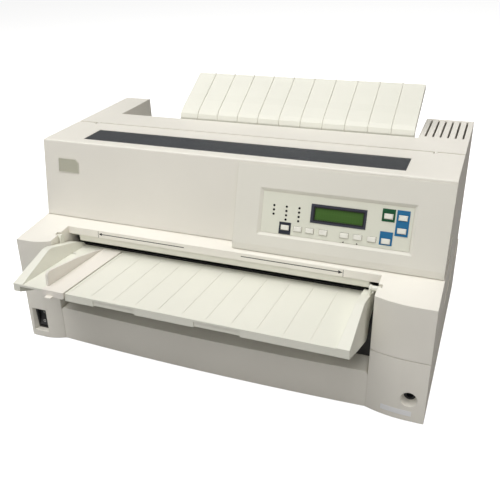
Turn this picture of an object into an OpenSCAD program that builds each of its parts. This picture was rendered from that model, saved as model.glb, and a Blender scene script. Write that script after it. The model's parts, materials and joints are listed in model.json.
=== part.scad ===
// Wide flatbed dot matrix printer with a hinged hood, a hinged front table and a rear paper support.
// Millimetres, +Z up, +X to the operator's right, the operator stands on the -Y side.
// The origin is on the table top under the middle of the machine.
// Places along Y are given from the hood's top front edge, which from_front() sets.

/* [Body] */
// Width of the lower case
base_w = 580; // [560:1:600]
// Step from the lower case's sides in to the hood and the rear case
hood_step = 1.4; // [1:0.1:2]
// Height of the top face
top_z = 276.8; // [270:0.1:290]
// Depth from the hood's top front edge to the rear face
rear_d = 233; // [232:1:250]
// Wall of the mouldings
wall = 3; // [2.4:0.1:3.4]
// Gap between mouldings that meet
seam = 0.7; // [0.4:0.1:1]

/* [Hood] */
// Depth from the top front edge to the hinge line
hood_d = 88; // [84:1:90]
// How far the foot of the hood's front face stands forward of its top edge
foot_out = 21.6; // [16:0.1:24]
// Radius of the rolled rear edge that holds the hinge pins
hinge_r = 3; // [2.8:0.1:3.4]
// Radius of the hinge pins
hinge_pin_r = 1.6; // [1.2:0.1:1.8]
// Distance of each hinge from the hood's side
hinge_inset = 35.6; // [30:0.1:50]
// Distance of the window from the hood's left side
window_left = 58.5; // [56:0.1:90]
// Distance of the window from the hood's right side
window_right = 61.7; // [56:0.1:90]
// Window depth
window_d = 44; // [36:1:46]
// Window's front edge behind the hood's front edge
window_y = 15.6; // [12:0.1:18]

/* [Operator panel] */
// Width of the panel housing, from the hood's right side
panel_w = 270.1; // [258:0.1:280]
// How far the panel housing's lower edge stands forward of the hood's top edge
panel_out = 36.3; // [32:0.1:38]
// Height of the lower edge of the panel's sloping face
panel_foot_z = 175.1; // [172:0.1:178]
// Recess: width
recess_w = 197; // [190:1:204]
// Recess: height along the slope
recess_h = 61; // [58:1:64]
// Recess: depth
recess_t = 2.6; // [2:0.1:3]
// Recess: width of its bevelled rim
recess_rim = 4; // [3:0.1:5]
// Key cap width
key_w = 10.6; // [9:0.1:11]
// Key cap height
key_h = 6.4; // [5:0.1:7]
// Clearance round a key cap
key_gap = 0.35; // [0.3:0.05:0.5]
// Lamp lens radius
lamp_r = 1.4; // [1:0.1:1.6]

/* [Deck and blocks] */
// Height of the deck below the hood's front edge
deck_z = 168.8; // [164:0.1:172]
// Fall of the deck towards the operator
deck_fall = 5.14; // [4:0.01:6]
// Height of the joint between the upper and the lower case
split_z = 88; // [80:1:96]
// Foot of the front blocks in front of the hood's top front edge
block_out = 106.6; // [104:0.1:112]
// Backward lean of the blocks' front faces
block_lean = 3.97; // [3:0.01:5]
// Width of the left block
block_left_w = 53.5; // [50:0.5:60]
// Width of the right block
block_right_w = 72.5; // [65:0.5:80]
// Depth of the bow in the blocks' front faces
block_bow = 8.3; // [6:0.1:9]
// Front edge of the deck between the blocks
lip_out = 45.5; // [45:0.1:46]
// Height of the lip that carries the printed arrows
lip_h = 10.5; // [9:0.1:11]

/* [Front table] */
// Height of the paper surface under the table's hinge
table_z = 134; // [132:0.1:136]
// Reach of the table in front of the hood's top front edge
table_out = 172.7; // [160:0.1:180]
// Rise of the table towards the operator, in degrees
table_rise = 4.6; // [3:0.1:6]
// Gap between the table and the left block
table_gap_left = 1.5; // [1:0.1:4]
// Gap between the table and the right block
table_gap_right = 7.5; // [1:0.1:8]
// Width of the tops of the table's side rims
rim_w = 10; // [8:0.5:11]
// Thickness of the table's floor
table_t = 3; // [2.4:0.1:3.4]
// Height of the table's front apron
apron_h = 10.5; // [9:0.1:11.5]
// Radius of the table's hinge pins
table_pin_r = 3.4; // [2.8:0.1:3.8]
// Place of the table's hinge axis in front of the hood's top front edge
table_axis_out = 67; // [64:1:68]
// Height of the table's hinge axis
table_axis_z = 158; // [157:0.5:159]
// Number of low ribs on the table
table_ribs = 11; // [8:1:12]
// Distance of the edge guide from the table's left side
guide_in = 48; // [40:1:80]
// Width of the edge guide's foot
guide_w = 32.5; // [28:0.5:36]

/* [Rear case and paper support] */
// Rear edge of the top between the arms
strip_d = 141.5; // [139:0.5:143]
// Width of the left arm
arm_left_w = 45.6; // [40:0.1:50]
// Width of the right arm
arm_right_w = 65.9; // [60:0.1:70]
// Height of the shelf between the arms
well_z = 200; // [190:1:210]
// Number of louvre slots
louvres = 6; // [4:1:7]
// Pitch of the louvre slots
louvre_pitch = 9.8; // [8:0.1:10]
// Width of a louvre slot
louvre_w = 2.5; // [2:0.1:4]
// Width of the paper support
support_w = 356.5; // [340:0.5:360]
// Number of ribs on the paper support
support_ribs = 10; // [6:1:11]
// Pitch of those ribs
support_pitch = 32.8; // [28:0.1:33]
// Thickness of the paper support
support_t = 2.5; // [2:0.1:3]

/* [Mechanism] */
// Radius of the platen roller
platen_r = 18; // [16:0.5:19]
// Length of the feed motor beside the platen roller
motor_l = 34; // [30:1:40]
// Radius of the feed rollers
feed_r = 10; // [8:0.5:11]
// Radius of the pressure rollers
press_r = 8; // [6:0.5:8.5]
// Radius of the platen shaft
platen_shaft_r = 5; // [4:0.5:6]
// Radius of the feed and pressure shafts
feed_shaft_r = 4; // [3:0.5:4.5]
// Radial clearance of shafts in their bores
run_gap = 0.06; // [0.03:0.01:0.1]
// Distance of the side frames from the case's sides
frame_inset = 28; // [26:1:30]
// Thickness of the side frames
frame_t = 2; // [1.5:0.5:3]
// Radius of the carriage shaft
rod_r = 6; // [5:0.5:7]
// Carriage's parking place
carriage_x = -150; // [-160:1:0]

/* [Hidden] */
$fn = 48;

eps = 0.01;
tab_reach = 9;              // the edge guide's tab in front of the table
guide_foot = table_z - 7.4; // underside of the edge guide's tab
front_reach = table_axis_out + (table_out + tab_reach - table_axis_out) * cos(table_rise)
    + (table_axis_z - guide_foot) * sin(table_rise);
yf = (front_reach - rear_d) / 2;
base_x = base_w / 2;
hood_x = base_x - hood_step;
hinge_x = hood_x - hinge_inset;
gap_left = -base_x + block_left_w;      // the blocks' inner faces
gap_right = base_x - block_right_w;
middle_x = (gap_left + gap_right) / 2;
frame_x = base_x - frame_inset;
hinge_z = top_z - hinge_r;
deck_gap = 0.8;             // under the hood's foot
front_lean = foot_out / (top_z - deck_z + foot_out * tan(deck_fall));
hood_lean = atan(front_lean);
hood_foot_z = top_of_deck(-foot_out) + deck_gap;
hood_fillet = 2.5;

panel_drop = top_z - panel_foot_z;
panel_tilt = atan2(panel_drop, panel_out);
chin_out = panel_out + 1.1;
panel_x = hood_x - panel_w;
recess_x = panel_x + 33;    // left edge of the recess
recess_s = 32.7;            // its upper edge below the hood's edge, along the slope
layout = recess_w / 197;    // the layout across the recess is drawn for a recess 197 wide
key_s = 80.5;               // the long row of keys, along the slope
key_row = [for (d = [36.6, 53.5, 69.1, 86.5, 113.2, 129.9, 147.2, 164.1]) recess_x + d * layout];
upper_s = 50.2;             // the upper keys
lower_s = 65.9;
upper_x = [recess_x + 164.1 * layout, recess_x + 181.3 * layout];
lamp_x = [for (d = [19.8, 36.5, 53.2]) recess_x + d * layout];
lamp_s = [53.8, 59.3, 64.8, 70.3];
lcd = [recess_x + 68.5 * layout, 46.1, 69.6, 23.7];      // left, upper edge, width, height of the display's bezel
lcd_view = [4.8, 4, 61, 15.6];      // the same of its window, from the bezel
sheet_t = 0.6;
plate_t = 0.4;
key_travel = 1.2;
key_rise = 1.4;             // key caps over the sheet

table_left = gap_left + table_gap_left;
table_right = gap_right - table_gap_right;
guide_x = table_left + guide_in;
thin_end = guide_x + guide_w;   // the apron starts at the edge guide's resting place
deep_ends = [[thin_end, table_left + 122], [table_left + 181, table_left + 260.5],
    [table_left + 318.6, table_right]];
apron_step = 1;             // how far the other stretches of the apron are set back and up

well_left = -hood_x + arm_left_w;
well_right = hood_x - arm_right_w;
support_right = well_right - 5.7;
support_left = support_right - support_w;
support_axis = [153, 262];
support_pin_r = 2.5;

foot_r = 12;
foot_h = 4;
pan_z = 2.5;
shelf_z = 55;               // top of the lower front panel
shelf_round = 6;            // its rounded upper corners
shelf_y = -64;              // where its bowed part ends
table_rear = -32;
cavity_y = -32;             // front of the wall behind the table
cavity_foot = [-63.5, 85];  // front and height of the wall's lower part
bay_y = -27.5;              // front end of the space for the mechanism

path_z = table_z;           // the paper's plane inside
platen_y = 75;
platen_z = path_z - platen_r;
feed_y = [20, 118];
feed_z = path_z - feed_r;
press_gap = 0.6;
press_z = path_z + press_gap + press_r;
frame_y = [-24.5, 137];
frame_z = [60, 208];
chassis_z = 60;
motor_at = [69, 84];
motor_r = 20;
motor_shaft_r = 2.5;
motor_flange = [25, 12];    // half its length and height
motor_pulley_r = 7;
platen_l = 2 * (frame_x + middle_x - motor_l - 3.5);
roller_pitch = (platen_l - 62) / 4;
belt_t = 1.4;
belt_w = 6;
belt_gap = 0.15;
pulley_x = -frame_x - 14;   // left face of the feed pulleys
rod_at = [96, 185];
rail_at = [40, 176];
cbelt_y = 118;
cbelt_z = 186;
cpulley_r = 7;
cpulley_x = frame_x - 26;

// Points of an arc about (cx, cy), n steps from angle a0 to a1
function arc(cx, cy, r, a0, a1, n = 8) =
    [for (i = [0 : n]) let (a = a0 + (a1 - a0) * i / n) [cx + r * cos(a), cy + r * sin(a)]];

// Height of the deck at a place y; it is level under the hood
function top_of_deck(y) = deck_z + min(y, 0) * tan(deck_fall);

// The hood's front face and the panel's face: y at a height z
function hood_face(z) = -front_lean * (top_z - z);
function panel_face(z) = -panel_out / panel_drop * (top_z - z);

module from_front() translate([0, yf, 0]) children();

// Extrudes a side profile, drawn as (y, z), from x0 to x1
module across(x0, x1) translate([x0, 0, 0]) rotate([90, 0, 90]) linear_extrude(x1 - x0) children();

// A round bar along X
module bar_x(x0, x1, y, z, r) translate([x0, y, z]) rotate([0, 90, 0]) cylinder(h = x1 - x0, r = r);

// A block between two corners
module block(a, b) translate(a) cube(b - a);

// Puts a drawing on the panel's face: x along it, y up it, z out of it
module on_panel() translate([0, 0, top_z]) rotate([panel_tilt, 0, 0]) children();

// A rectangle on the panel's face by its left edge, upper edge, width and height
module panel_rect(r, grow = 0)
    translate([r[0] - grow, -r[1] - r[3] - grow]) square([r[2] + 2 * grow, r[3] + 2 * grow]);

// Plan of one front block, its outer face at base_x; the front bows back towards its inner face
module block_plan(inner, inset = 0) {
    flat = 22;
    bow_w = base_x - flat - inner;
    n = 10;
    polygon(concat(
        [[base_x - inset, 30], [base_x - inset, -block_out + inset]],
        [for (i = [0 : n]) let (t = i / n)
            [base_x - flat - t * (bow_w - inset), -block_out + inset + block_bow * t * t]],
        [[inner + inset, 30]]));
}

// A block standing on that plan, leaning back, between two heights
module front_block(inner, z0, z1, inset = 0)
    intersection() {
        rotate([-block_lean, 0, 0]) translate([0, 0, -30]) linear_extrude(260) block_plan(inner, inset);
        block([0, -block_out - 10, z0], [base_x + 1, 20, z1]);
    }

// Everything below the deck's top face
module under_deck(drop = 0)
    across(-base_x - 1, base_x + 1)
        polygon([[-block_out - 10, 0], [-block_out - 10, top_of_deck(-block_out - 10) - drop],
            [0, deck_z - drop], [60, deck_z - drop], [60, 0]]);

// Plan of the lower front panel between the blocks, bowed a little outward
module panel_plan(inset = 0) {
    mid = (gap_left + gap_right) / 2;
    half = (gap_right - gap_left) / 2;
    ends = block_out - block_bow - 0.4;
    bow = 5.2;
    n = 12;
    polygon(concat(
        [for (i = [-n : n]) let (t = i / n)
            [mid + t * half, -ends - bow * (1 - t * t) + inset]],
        [[gap_right, shelf_y], [gap_left, shelf_y]]));
}

// A block round the lower front panel with rounded upper corners
module shelf_block(x0, x1) rotate([90, 0, 0]) translate([0, 0, -shelf_y])
    linear_extrude(block_out + 20 + shelf_y)
    difference() {
        translate([x0, pan_z]) square([x1 - x0, shelf_z - pan_z]);
        for (side = [[0, gap_right], [1, -gap_left]])
            mirror([side[0], 0]) difference() {
                translate([side[1] - shelf_round, shelf_z - shelf_round]) square(shelf_round + 1);
                translate([side[1] - shelf_round, shelf_z - shelf_round]) circle(r = shelf_round);
            }
    }

// Lower case

post_y = [30, 125];
foot_y = [-72, 200];
foot_x = base_x - 28;

module base_pan() color([0.74, 0.72, 0.69]) from_front() {
    difference() {
        union() {
            for (side = [[0, gap_right], [1, -gap_left]])
                mirror([side[0], 0, 0]) front_block(side[1], pan_z, split_z);
            // Side walls, rear wall and floor behind the blocks
            block([-base_x, 20 - eps, pan_z], [base_x, rear_d, split_z]);
            // Floor and front panel between the blocks
            intersection() {
                rotate([-block_lean, 0, 0]) translate([0, 0, -30]) linear_extrude(260) panel_plan();
                shelf_block(gap_left - eps, gap_right + eps);
            }
            block([gap_left - eps, shelf_y - eps, pan_z], [gap_right + eps, 20, shelf_z]);
        }
        for (side = [[0, gap_right], [1, -gap_left]])
            mirror([side[0], 0, 0]) front_block(side[1], pan_z + wall, split_z + 1, wall);
        block([-base_x + wall, 10, pan_z + wall], [base_x - wall, rear_d - wall, split_z + 1]);
        intersection() {
            rotate([-block_lean, 0, 0]) translate([0, 0, -30]) linear_extrude(260)
                translate([0, wall]) panel_plan();
            block([gap_left + wall, -block_out - 20, pan_z + wall],
                [gap_right - wall, shelf_y + 2 * eps + wall, shelf_z - wall]);
        }
        block([gap_left + wall, shelf_y, pan_z + wall], [gap_right - wall, 21, shelf_z - wall]);
        block([gap_left - wall - 1, bay_y, shelf_z + eps], [gap_right + wall + 1, 21, split_z + 1]);
        block([gap_left - wall - 1, 10, shelf_z - 20], [gap_right + wall + 1, 21, split_z + 1]);
        switch_pocket();
        jack_hole();
        power_inlet_hole();
        interface_hole();
        foot_places(pan_z + 1.5, foot_r + 0.2);
    }
    // Posts that carry the chassis, and the pads behind the feet
    for (x = [22 - frame_x, 0, frame_x - 22], y = post_y)
        translate([x, y, pan_z + wall - eps]) cylinder(h = chassis_z - pan_z - wall + eps, r = 6);
    difference() {
        foot_places(pan_z + 1.5 + wall, foot_r + wall);
        foot_places(pan_z + 1.5, foot_r + wall + 1);
    }
    switch_tray();
    jack_tray();
}

// Discs on the floor at the four feet, up to a height z
module foot_places(z, r, z0 = 0)
    for (x = [-foot_x, foot_x], y = foot_y)
        translate([x, y, z0]) cylinder(h = z - z0, r = r);

module feet() color([0.15, 0.15, 0.16]) from_front() foot_places(foot_h, foot_r);

// Pocket in the left block round the power switch, its walls drawn in
pocket = [4.5 - base_x, 30.5 - base_x, 12, 50];     // left, right, foot, top
pocket_d = 7;
rocker = [9.3 - base_x, 28 - base_x, 14.6, 47.5];   // the switch's frame: left, right, foot, top
function block_face(z) = -block_out / cos(block_lean) + z * tan(block_lean);

module switch_pocket() hull() {
    y0 = block_face(30) - 2;
    y1 = block_face(30) + pocket_d;
    block([pocket[0], y0 - 1, pocket[2]], [pocket[1], y0, pocket[3]]);
    block([rocker[0] - 1, y1 - 1, rocker[2] - 1], [rocker[1] + 1, y1, rocker[3] + 1]);
}

// Moulded walls round the pocket, behind the block's face
module switch_tray() difference() {
    y0 = block_face(30) + 2;
    block([pocket[0] - 1.5, y0, pocket[2] - 2],
        [pocket[1] + 2, block_face(30) + pocket_d + 1.5, pocket[3] + 2]);
    switch_pocket();
    block([rocker[0], y0, rocker[2]], [rocker[1], y0 + 40, rocker[3]]);
}

module switch_housing() color([0.08, 0.08, 0.09]) from_front() {
    y0 = block_face(30) + pocket_d;
    difference() {
        union() {
            block([rocker[0] - 0.8, y0 - 1.5, rocker[2] - 0.8], [rocker[1] + 0.8, y0, rocker[3] + 0.8]);
            block([rocker[0] + 0.1, y0 - 1, rocker[2] + 0.1], [rocker[1] - 0.1, y0 + 20, rocker[3] - 0.1]);
            for (x = [0, 6]) block([rocker[0] + 3 + x, y0 + 19, 27], [rocker[0] + 5 + x, y0 + 27, 33]);
        }
        block([rocker[0] + 1.6, y0 - 2, rocker[2] + 1.6], [rocker[1] - 1.6, y0 + 12, rocker[3] - 1.6]);
        bar_x(rocker[0] - 1, rocker[1] + 1, y0 + 7, rocker_mid, rocker_pin_r + run_gap);
    }
}

rocker_mid = (rocker[2] + rocker[3]) / 2;
rocker_pin_r = 1.2;
rocker_tip = 9;      // half of the rocker's swing

module power_rocker() color([0.05, 0.05, 0.06]) from_front() {
    y0 = block_face(30) + pocket_d;
    half = (rocker[3] - rocker[2]) / 2 - 3.1;
    translate([0, y0 + 7, rocker_mid]) rotate([-rocker_tip, 0, 0]) {
        across(rocker[0] + 2, rocker[1] - 2)
            polygon(concat([[0, -half + 1]], [[-6.5, -half]],
                [for (i = [-4 : 4]) [-6 + 1.6 * (1 - i * i / 16), half * i / 4.4]], [[-6.5, half],
                    [0, half - 1]]));
        bar_x(rocker[0] + 2 - 1.2, rocker[1] - 2 + 1.2, 0, 0, rocker_pin_r);
    }
}

// Round recess in the right block with a socket at its end
jack_at = [base_x - 20.4, 33.8];
jack_r = 10.2;
jack_mouth_r = 7.3;
jack_d = 9.5;                 // depth of the recess

module jack_hole() translate([jack_at[0], block_face(jack_at[1]) - 1, jack_at[1]])
    rotate([-90, 0, 0]) cylinder(h = jack_d + 1, r1 = jack_r + 0.3, r2 = jack_mouth_r);

module jack_tray() difference() {
    translate([jack_at[0], block_face(jack_at[1]) + 2, jack_at[1]]) rotate([-90, 0, 0])
        cylinder(h = jack_d + 2, r = jack_r + 1.6);
    jack_hole();
    translate([jack_at[0], block_face(jack_at[1]), jack_at[1]]) rotate([-90, 0, 0])
        cylinder(h = 20, r = jack_mouth_r);
}

module jack_socket() color([0.1, 0.1, 0.11]) from_front()
    translate([jack_at[0], block_face(jack_at[1]) + jack_d, jack_at[1]]) rotate([-90, 0, 0]) difference() {
        union() {
            cylinder(h = 14, r = jack_mouth_r - 0.1);
            translate([0, 0, 4]) cylinder(h = 2, r = jack_r);
        }
        translate([0, 0, -1]) cylinder(h = 12, r = 4.4);
    }

inlet_at = [205, 34];
port_at = [-150, 34];

module power_inlet_hole() block([inlet_at[0] - 14, rear_d - 5, inlet_at[1] - 10],
    [inlet_at[0] + 14, rear_d + 1, inlet_at[1] + 10]);

module power_inlet() color([0.08, 0.08, 0.09]) from_front() difference() {
    union() {
        block([inlet_at[0] - 13.8, rear_d - 22, inlet_at[1] - 9.8],
            [inlet_at[0] + 13.8, rear_d - 0.2, inlet_at[1] + 9.8]);
        block([inlet_at[0] - 20, rear_d - wall - 2, inlet_at[1] - 12],
            [inlet_at[0] + 20, rear_d - wall, inlet_at[1] + 12]);
    }
    difference() {
        block([inlet_at[0] - 12, rear_d - 18, inlet_at[1] - 8],
            [inlet_at[0] + 12, rear_d + 1, inlet_at[1] + 8]);
        for (x = [-6.5, 0, 6.5]) block([inlet_at[0] + x - 1, rear_d - 19, inlet_at[1] - 2],
            [inlet_at[0] + x + 1, rear_d - 5, inlet_at[1] + 2]);
    }
}

module interface_hole() block([port_at[0] - 36, rear_d - 5, port_at[1] - 9],
    [port_at[0] + 36, rear_d + 1, port_at[1] + 9]);

module interface_connector() color([0.7, 0.7, 0.72]) from_front() difference() {
    union() {
        block([port_at[0] - 35.7, rear_d - 14, port_at[1] - 8.7],
            [port_at[0] + 35.7, rear_d - 1.5, port_at[1] + 8.7]);
        block([port_at[0] - 44, rear_d - wall - 2, port_at[1] - 11],
            [port_at[0] + 44, rear_d - wall, port_at[1] + 11]);
    }
    difference() {
        block([port_at[0] - 31, rear_d - 12, port_at[1] - 5.5], [port_at[0] + 31, rear_d, port_at[1] + 5.5]);
        block([port_at[0] - 28, rear_d - 13, port_at[1] - 2.2],
            [port_at[0] + 28, rear_d - 4, port_at[1] + 2.2]);
    }
}

// Upper case

module front_cover() color([0.93, 0.92, 0.89]) from_front() difference() {
    union() {
        intersection() {
            under_deck();
            for (side = [[0, gap_right], [1, -gap_left]])
                mirror([side[0], 0, 0]) difference() {
                    front_block(side[1], split_z + seam, top_z);
                    intersection() {
                        front_block(side[1], split_z, top_z, wall);
                        under_deck(wall);
                    }
                }
        }
        // Deck between the blocks, with its front lip
        intersection() {
            across(gap_left - wall, gap_right + wall) {
                lip_profile();
                polygon([[-lip_out, top_of_deck(-lip_out) - wall - 1], [-lip_out, deck_z + 1],
                    [0, deck_z + 1], [0, deck_z - wall - 1]]);
            }
            difference() {
                under_deck();
                difference() {
                    under_deck(wall);
                    across(-base_x, base_x) lip_profile();
                }
            }
        }
        // Bosses round the table's hinge slots
        for (x = [gap_left - slot_in - 2, gap_right])
            intersection() {
                bar_x(x, x + slot_in + 2, -table_axis_out, table_axis_z, table_pin_r + 4);
                under_deck(eps);
            }
    }
    // The mechanism reaches into the blocks
    block([gap_left - wall - 1, bay_y, split_z - 1], [gap_right + wall + 1, 21, deck_z - wall - 5]);
    // Open slots in which the table's pins lie
    for (x = [gap_left - slot_in, gap_right - 1]) {
        bar_x(x, x + slot_in + 1, -table_axis_out, table_axis_z, table_pin_r + run_gap);
        block([x, -table_axis_out - table_pin_r - run_gap, table_axis_z],
            [x + slot_in + 1, -table_axis_out + table_pin_r + run_gap, deck_z + 1]);
    }
}

slot_in = 5;                // depth of the slots in the blocks
pin_in = 4;                 // reach of the table's pins into them

// The lip's side profile: it leans a little forward on its way down
module lip_profile() {
    z = top_of_deck(-lip_out);
    polygon([[-lip_out, z], [-lip_out - 1.5, z - lip_h], [-lip_out + wall, z - lip_h], [-lip_out + wall, z]]);
}

// Set-back bar under the deck's lip, over the paper slot
strip_left = gap_left + 16.5;
strip_right = gap_right - 14.5;
strip_z = [142.6, 152.6];

module guide_strip() color([0.93, 0.93, 0.9]) from_front()
    across(strip_left, strip_right)
        polygon(concat(arc(-lip_out + 4, strip_z[0] + 3, 3, 180, 270),
            [[-lip_out + 12, strip_z[0]], [-lip_out + 12, top_of_deck(-lip_out + 12) - wall],
            [-lip_out + wall + 0.1, top_of_deck(-lip_out + wall) - wall],
            [-lip_out + wall + 0.1, strip_z[1]], [-lip_out + 1, strip_z[1]]]));

// Dark wall behind the space under the table: it stands well forward on the shelf, slopes back
// and ends in the lower lip of the paper slot
module cavity_panel() color([0.1, 0.1, 0.11]) from_front()
    across(gap_left + 0.5, gap_right - 0.5)
        polygon([[cavity_foot[0], shelf_z], [cavity_foot[0] + 2, shelf_z],
            [cavity_foot[0] + 2, cavity_foot[1] - 1],
            [cavity_y + 2, cavity_foot[1] + 21], [cavity_y + 2, path_z - 3], [bay_y - 0.5, path_z - 3],
            [bay_y - 0.5, path_z - 1.5], [cavity_y, path_z - 1.5],
                [cavity_y, cavity_foot[1] + 22], cavity_foot]);

// Side profile of the rear case behind the hood's line
module rear_case() color([0.93, 0.92, 0.89]) from_front() difference() {
    union() {
        // Outer shell with the space under the hood taken out
        difference() {
            block([-hood_x, 20 + seam, split_z + seam], [hood_x, rear_d, top_z]);
            block([-hood_x + wall, 0, split_z], [hood_x - wall, rear_d - wall, top_z - wall]);
            block([-hood_x - 1, 0, deck_z], [hood_x + 1, hood_d + seam, top_z + 1]);
            block([-hood_x - 1, 0, top_z - 2 * wall - 2], [hood_x + 1, hood_d + hinge_r + seam, top_z + 1]);
            block([well_left, strip_d, well_z], [well_right, rear_d + 1, top_z + 1]);
        }
        // Walls and floor of the well between the arms
        block([well_left - wall, strip_d - wall, well_z - wall], [well_left, rear_d - eps, top_z - eps]);
        block([well_right, strip_d - wall, well_z - wall], [well_right + wall, rear_d - eps, top_z - eps]);
        block([well_left - eps, strip_d - wall, well_z - wall], [well_right + eps, rear_d - eps, well_z]);
        block([well_left - eps, strip_d - wall, well_z - wall], [well_right + eps, strip_d, top_z - eps]);
        // Hinge lugs for the hood
        for (x = [-hinge_x, hinge_x]) hinge_lug(x);
        // Bracket for the paper support's left pin
        across(support_left - 8, support_left - 1)
            polygon(concat([[143.5, well_z - eps]], [[162.5, well_z - eps]],
                arc(support_axis[0], support_axis[1], 7, 0, 180)));
    }
    // Louvres
    for (i = [0 : louvres - 1])
        block([well_right + 7.5 + i * louvre_pitch, 150, top_z - wall - 1],
            [well_right + 7.5 + i * louvre_pitch + louvre_w, 225.5, top_z + 1]);
    // Paper outlet behind the platen
    block([middle_x - platen_l / 2 + 15, strip_d - wall - 1, outlet_z[0]],
        [middle_x + platen_l / 2 - 15, strip_d + 1, outlet_z[1]]);
    // Bores for the paper support's pins
    bar_x(support_left - 9, support_left, support_axis[0], support_axis[1], support_pin_r + run_gap);
    bar_x(well_right - 1, well_right + wall + 1, support_axis[0], support_axis[1], support_pin_r + run_gap);
    for (x = [-hinge_x, hinge_x]) bar_x(x - 6, x + 6, hood_d, hinge_z, hinge_pin_r + run_gap);
}

outlet_z = [212, 232];
lug_w = 3.4;
lug_slit = 2;               // open to the left of each lug

module hinge_lug(x) across(x - lug_w / 2, x + lug_w / 2)
    polygon(concat(arc(hood_d, hinge_z, hinge_r - 0.1, 90, 270),
        [[hood_d + hinge_r + seam + 8, hinge_z - hinge_r + 0.1],
        [hood_d + hinge_r + seam + 8, top_z - wall + eps], [hood_d + hinge_r + seam, top_z - wall + eps],
        [hood_d + hinge_r + seam, hinge_z + hinge_r - 0.1]]));

module hinge_pins() color([0.75, 0.75, 0.77]) from_front()
    for (x = [-hinge_x, hinge_x]) bar_x(x - 15, x + 15, hood_d, hinge_z, hinge_pin_r);

// Hood

module hood() color([0.93, 0.92, 0.89]) from_front() difference() {
    across(-hood_x, hood_x)
        polygon(concat(
            [[hood_face(hood_foot_z), hood_foot_z]],
            arc(hood_fillet / tan(45 + hood_lean / 2), top_z - hood_fillet, hood_fillet, 180 - hood_lean, 90, 5),
            arc(hood_d, hinge_z, hinge_r, 90, -90, 10),
            [[hood_d, deck_z + deck_gap], [0, deck_z + deck_gap]]));
    across(-hood_x + wall, hood_x - wall)
        polygon([[hood_face(deck_z) + wall * 1.02, deck_z - 20],
            [hood_face(top_z - wall) + wall * 1.02, top_z - wall],
            [hood_d - hinge_r - 0.5, top_z - wall], [hood_d - hinge_r - 0.5, top_z - 2 * hinge_r - 0.5],
            [hood_d + 10, top_z - 2 * hinge_r - 0.5], [hood_d + 10, deck_z - 20]]);
    window_cut(0, top_z - window_t);
    window_cut(-3, top_z - wall - 1);
    for (x = [-hinge_x, hinge_x]) {
        block([x - lug_w / 2 - lug_slit, hood_d - hinge_r - 0.6, top_z - 10],
            [x + lug_w / 2 + 0.4, hood_d + 10, top_z + 1]);
        bar_x(x - 15.5, x + 15.5, hood_d, hinge_z, hinge_pin_r + run_gap);
    }
    for (x = [-1, 1]) latch_window(x);
    // Opening behind the operator panel
    intersection() {
        on_panel() translate([0, 0, -60])
            linear_extrude(80) panel_rect([recess_x, recess_s, recess_w, recess_h], -recess_rim);
        block([0, -60, deck_z + 8], [hood_x, 12, top_z - 10]);
    }
}

window_t = 2;

module window_cut(grow, z0)
    block([-hood_x + window_left - grow, window_y - grow, z0],
        [hood_x - window_right + grow, window_y + window_d + grow, top_z + 1]);

module hood_window() color([0.22, 0.23, 0.25, 0.8]) from_front()
    block([-hood_x + window_left + 0.3, window_y + 0.3, top_z - window_t],
        [hood_x - window_right - 0.3, window_y + window_d - 0.3, top_z - 0.4]);

// Latch pads near the hood's foot, one on each side
latch_y = [-7, 18];
latch_z = [176, 198];
latch_out = 1.4;
latch_rim = 2;

module latch_window(side)
    block([side * hood_x - 5, latch_y[0] - 0.4, latch_z[0] - 0.4],
        [side * hood_x + 5, latch_y[1] + 0.4, latch_z[1] + 0.4]);

module latch(side) color([0.88, 0.87, 0.84]) from_front() {
    x = side * (hood_x - wall - 0.3);
    block([min(x, side * (hood_x + latch_out)), latch_y[0], latch_z[0]],
        [max(x, side * (hood_x + latch_out)), latch_y[1], latch_z[1]]);
    // Flange that keeps the pad in, and its catch
    block([min(x - side * 2, x), latch_y[0] - latch_rim, latch_z[0] - latch_rim],
        [max(x - side * 2, x), latch_y[1] + latch_rim, latch_z[1] + latch_rim]);
}

module latch_left() latch(-1);
module latch_right() latch(1);

// Operator panel

module panel_housing() color([0.86, 0.85, 0.82]) from_front() difference() {
    across(panel_x, hood_x)
        polygon([[hood_face(top_z - 3.8), top_z - 3.8], [panel_face(top_z - 3.8), top_z - 3.8],
            [-panel_out, panel_foot_z], [-chin_out, top_of_deck(-chin_out) + deck_gap],
            [hood_face(hood_foot_z) - 0.2, hood_foot_z]]);
    // Hollow behind the face, with four posts for the board
    on_panel() difference() {
        translate([0, 0, -40]) linear_extrude(40 - recess_t - 2)
            panel_rect([recess_x, recess_s, recess_w, recess_h], -recess_rim);
        board_corners(3.5, board_n, 5);
    }
    on_panel() hull() {
        translate([0, 0, 0]) linear_extrude(1) panel_rect([recess_x, recess_s, recess_w, recess_h]);
        translate([0, 0, -recess_t]) linear_extrude(0.1)
            panel_rect([recess_x, recess_s, recess_w, recess_h], -recess_rim);
    }
    on_panel() translate([0, 0, -recess_t - 5]) linear_extrude(6) panel_openings(0);
}

board_n = -7.6;             // face of the board behind the keys
board_t = 1.6;

// Squares in the corners of the hollow behind the panel
module board_corners(size, n0, h)
    for (x = [recess_x + recess_rim, recess_x + recess_w - recess_rim - size],
        s = [recess_s + recess_rim + size, recess_s + recess_h - recess_rim])
        translate([x, -s, n0]) cube([size, size, h]);

module panel_board() color([0.1, 0.35, 0.2]) from_front() on_panel()
    translate([0, 0, board_n - board_t]) linear_extrude(board_t)
        panel_rect([recess_x, recess_s, recess_w, recess_h], -recess_rim - 0.3);

// Places of the keys on the panel: x and s of their middles
key_places = concat([for (x = key_row) [x, key_s]],
    [[upper_x[0], upper_s], [upper_x[1], upper_s], [upper_x[1], lower_s]]);

module key_outline(i, grow)
    translate([key_places[i][0], -key_places[i][1]])
        square([key_w + 2 * grow, key_h + 2 * grow], center = true);

// Openings for the keys, the display and the lamps
module panel_openings(extra) {
    for (i = [0 : len(key_places) - 1]) key_outline(i, key_gap + extra);
    panel_rect(lcd, 0.2 + extra);
    lamps_2d(0.1 + extra);
}

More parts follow.
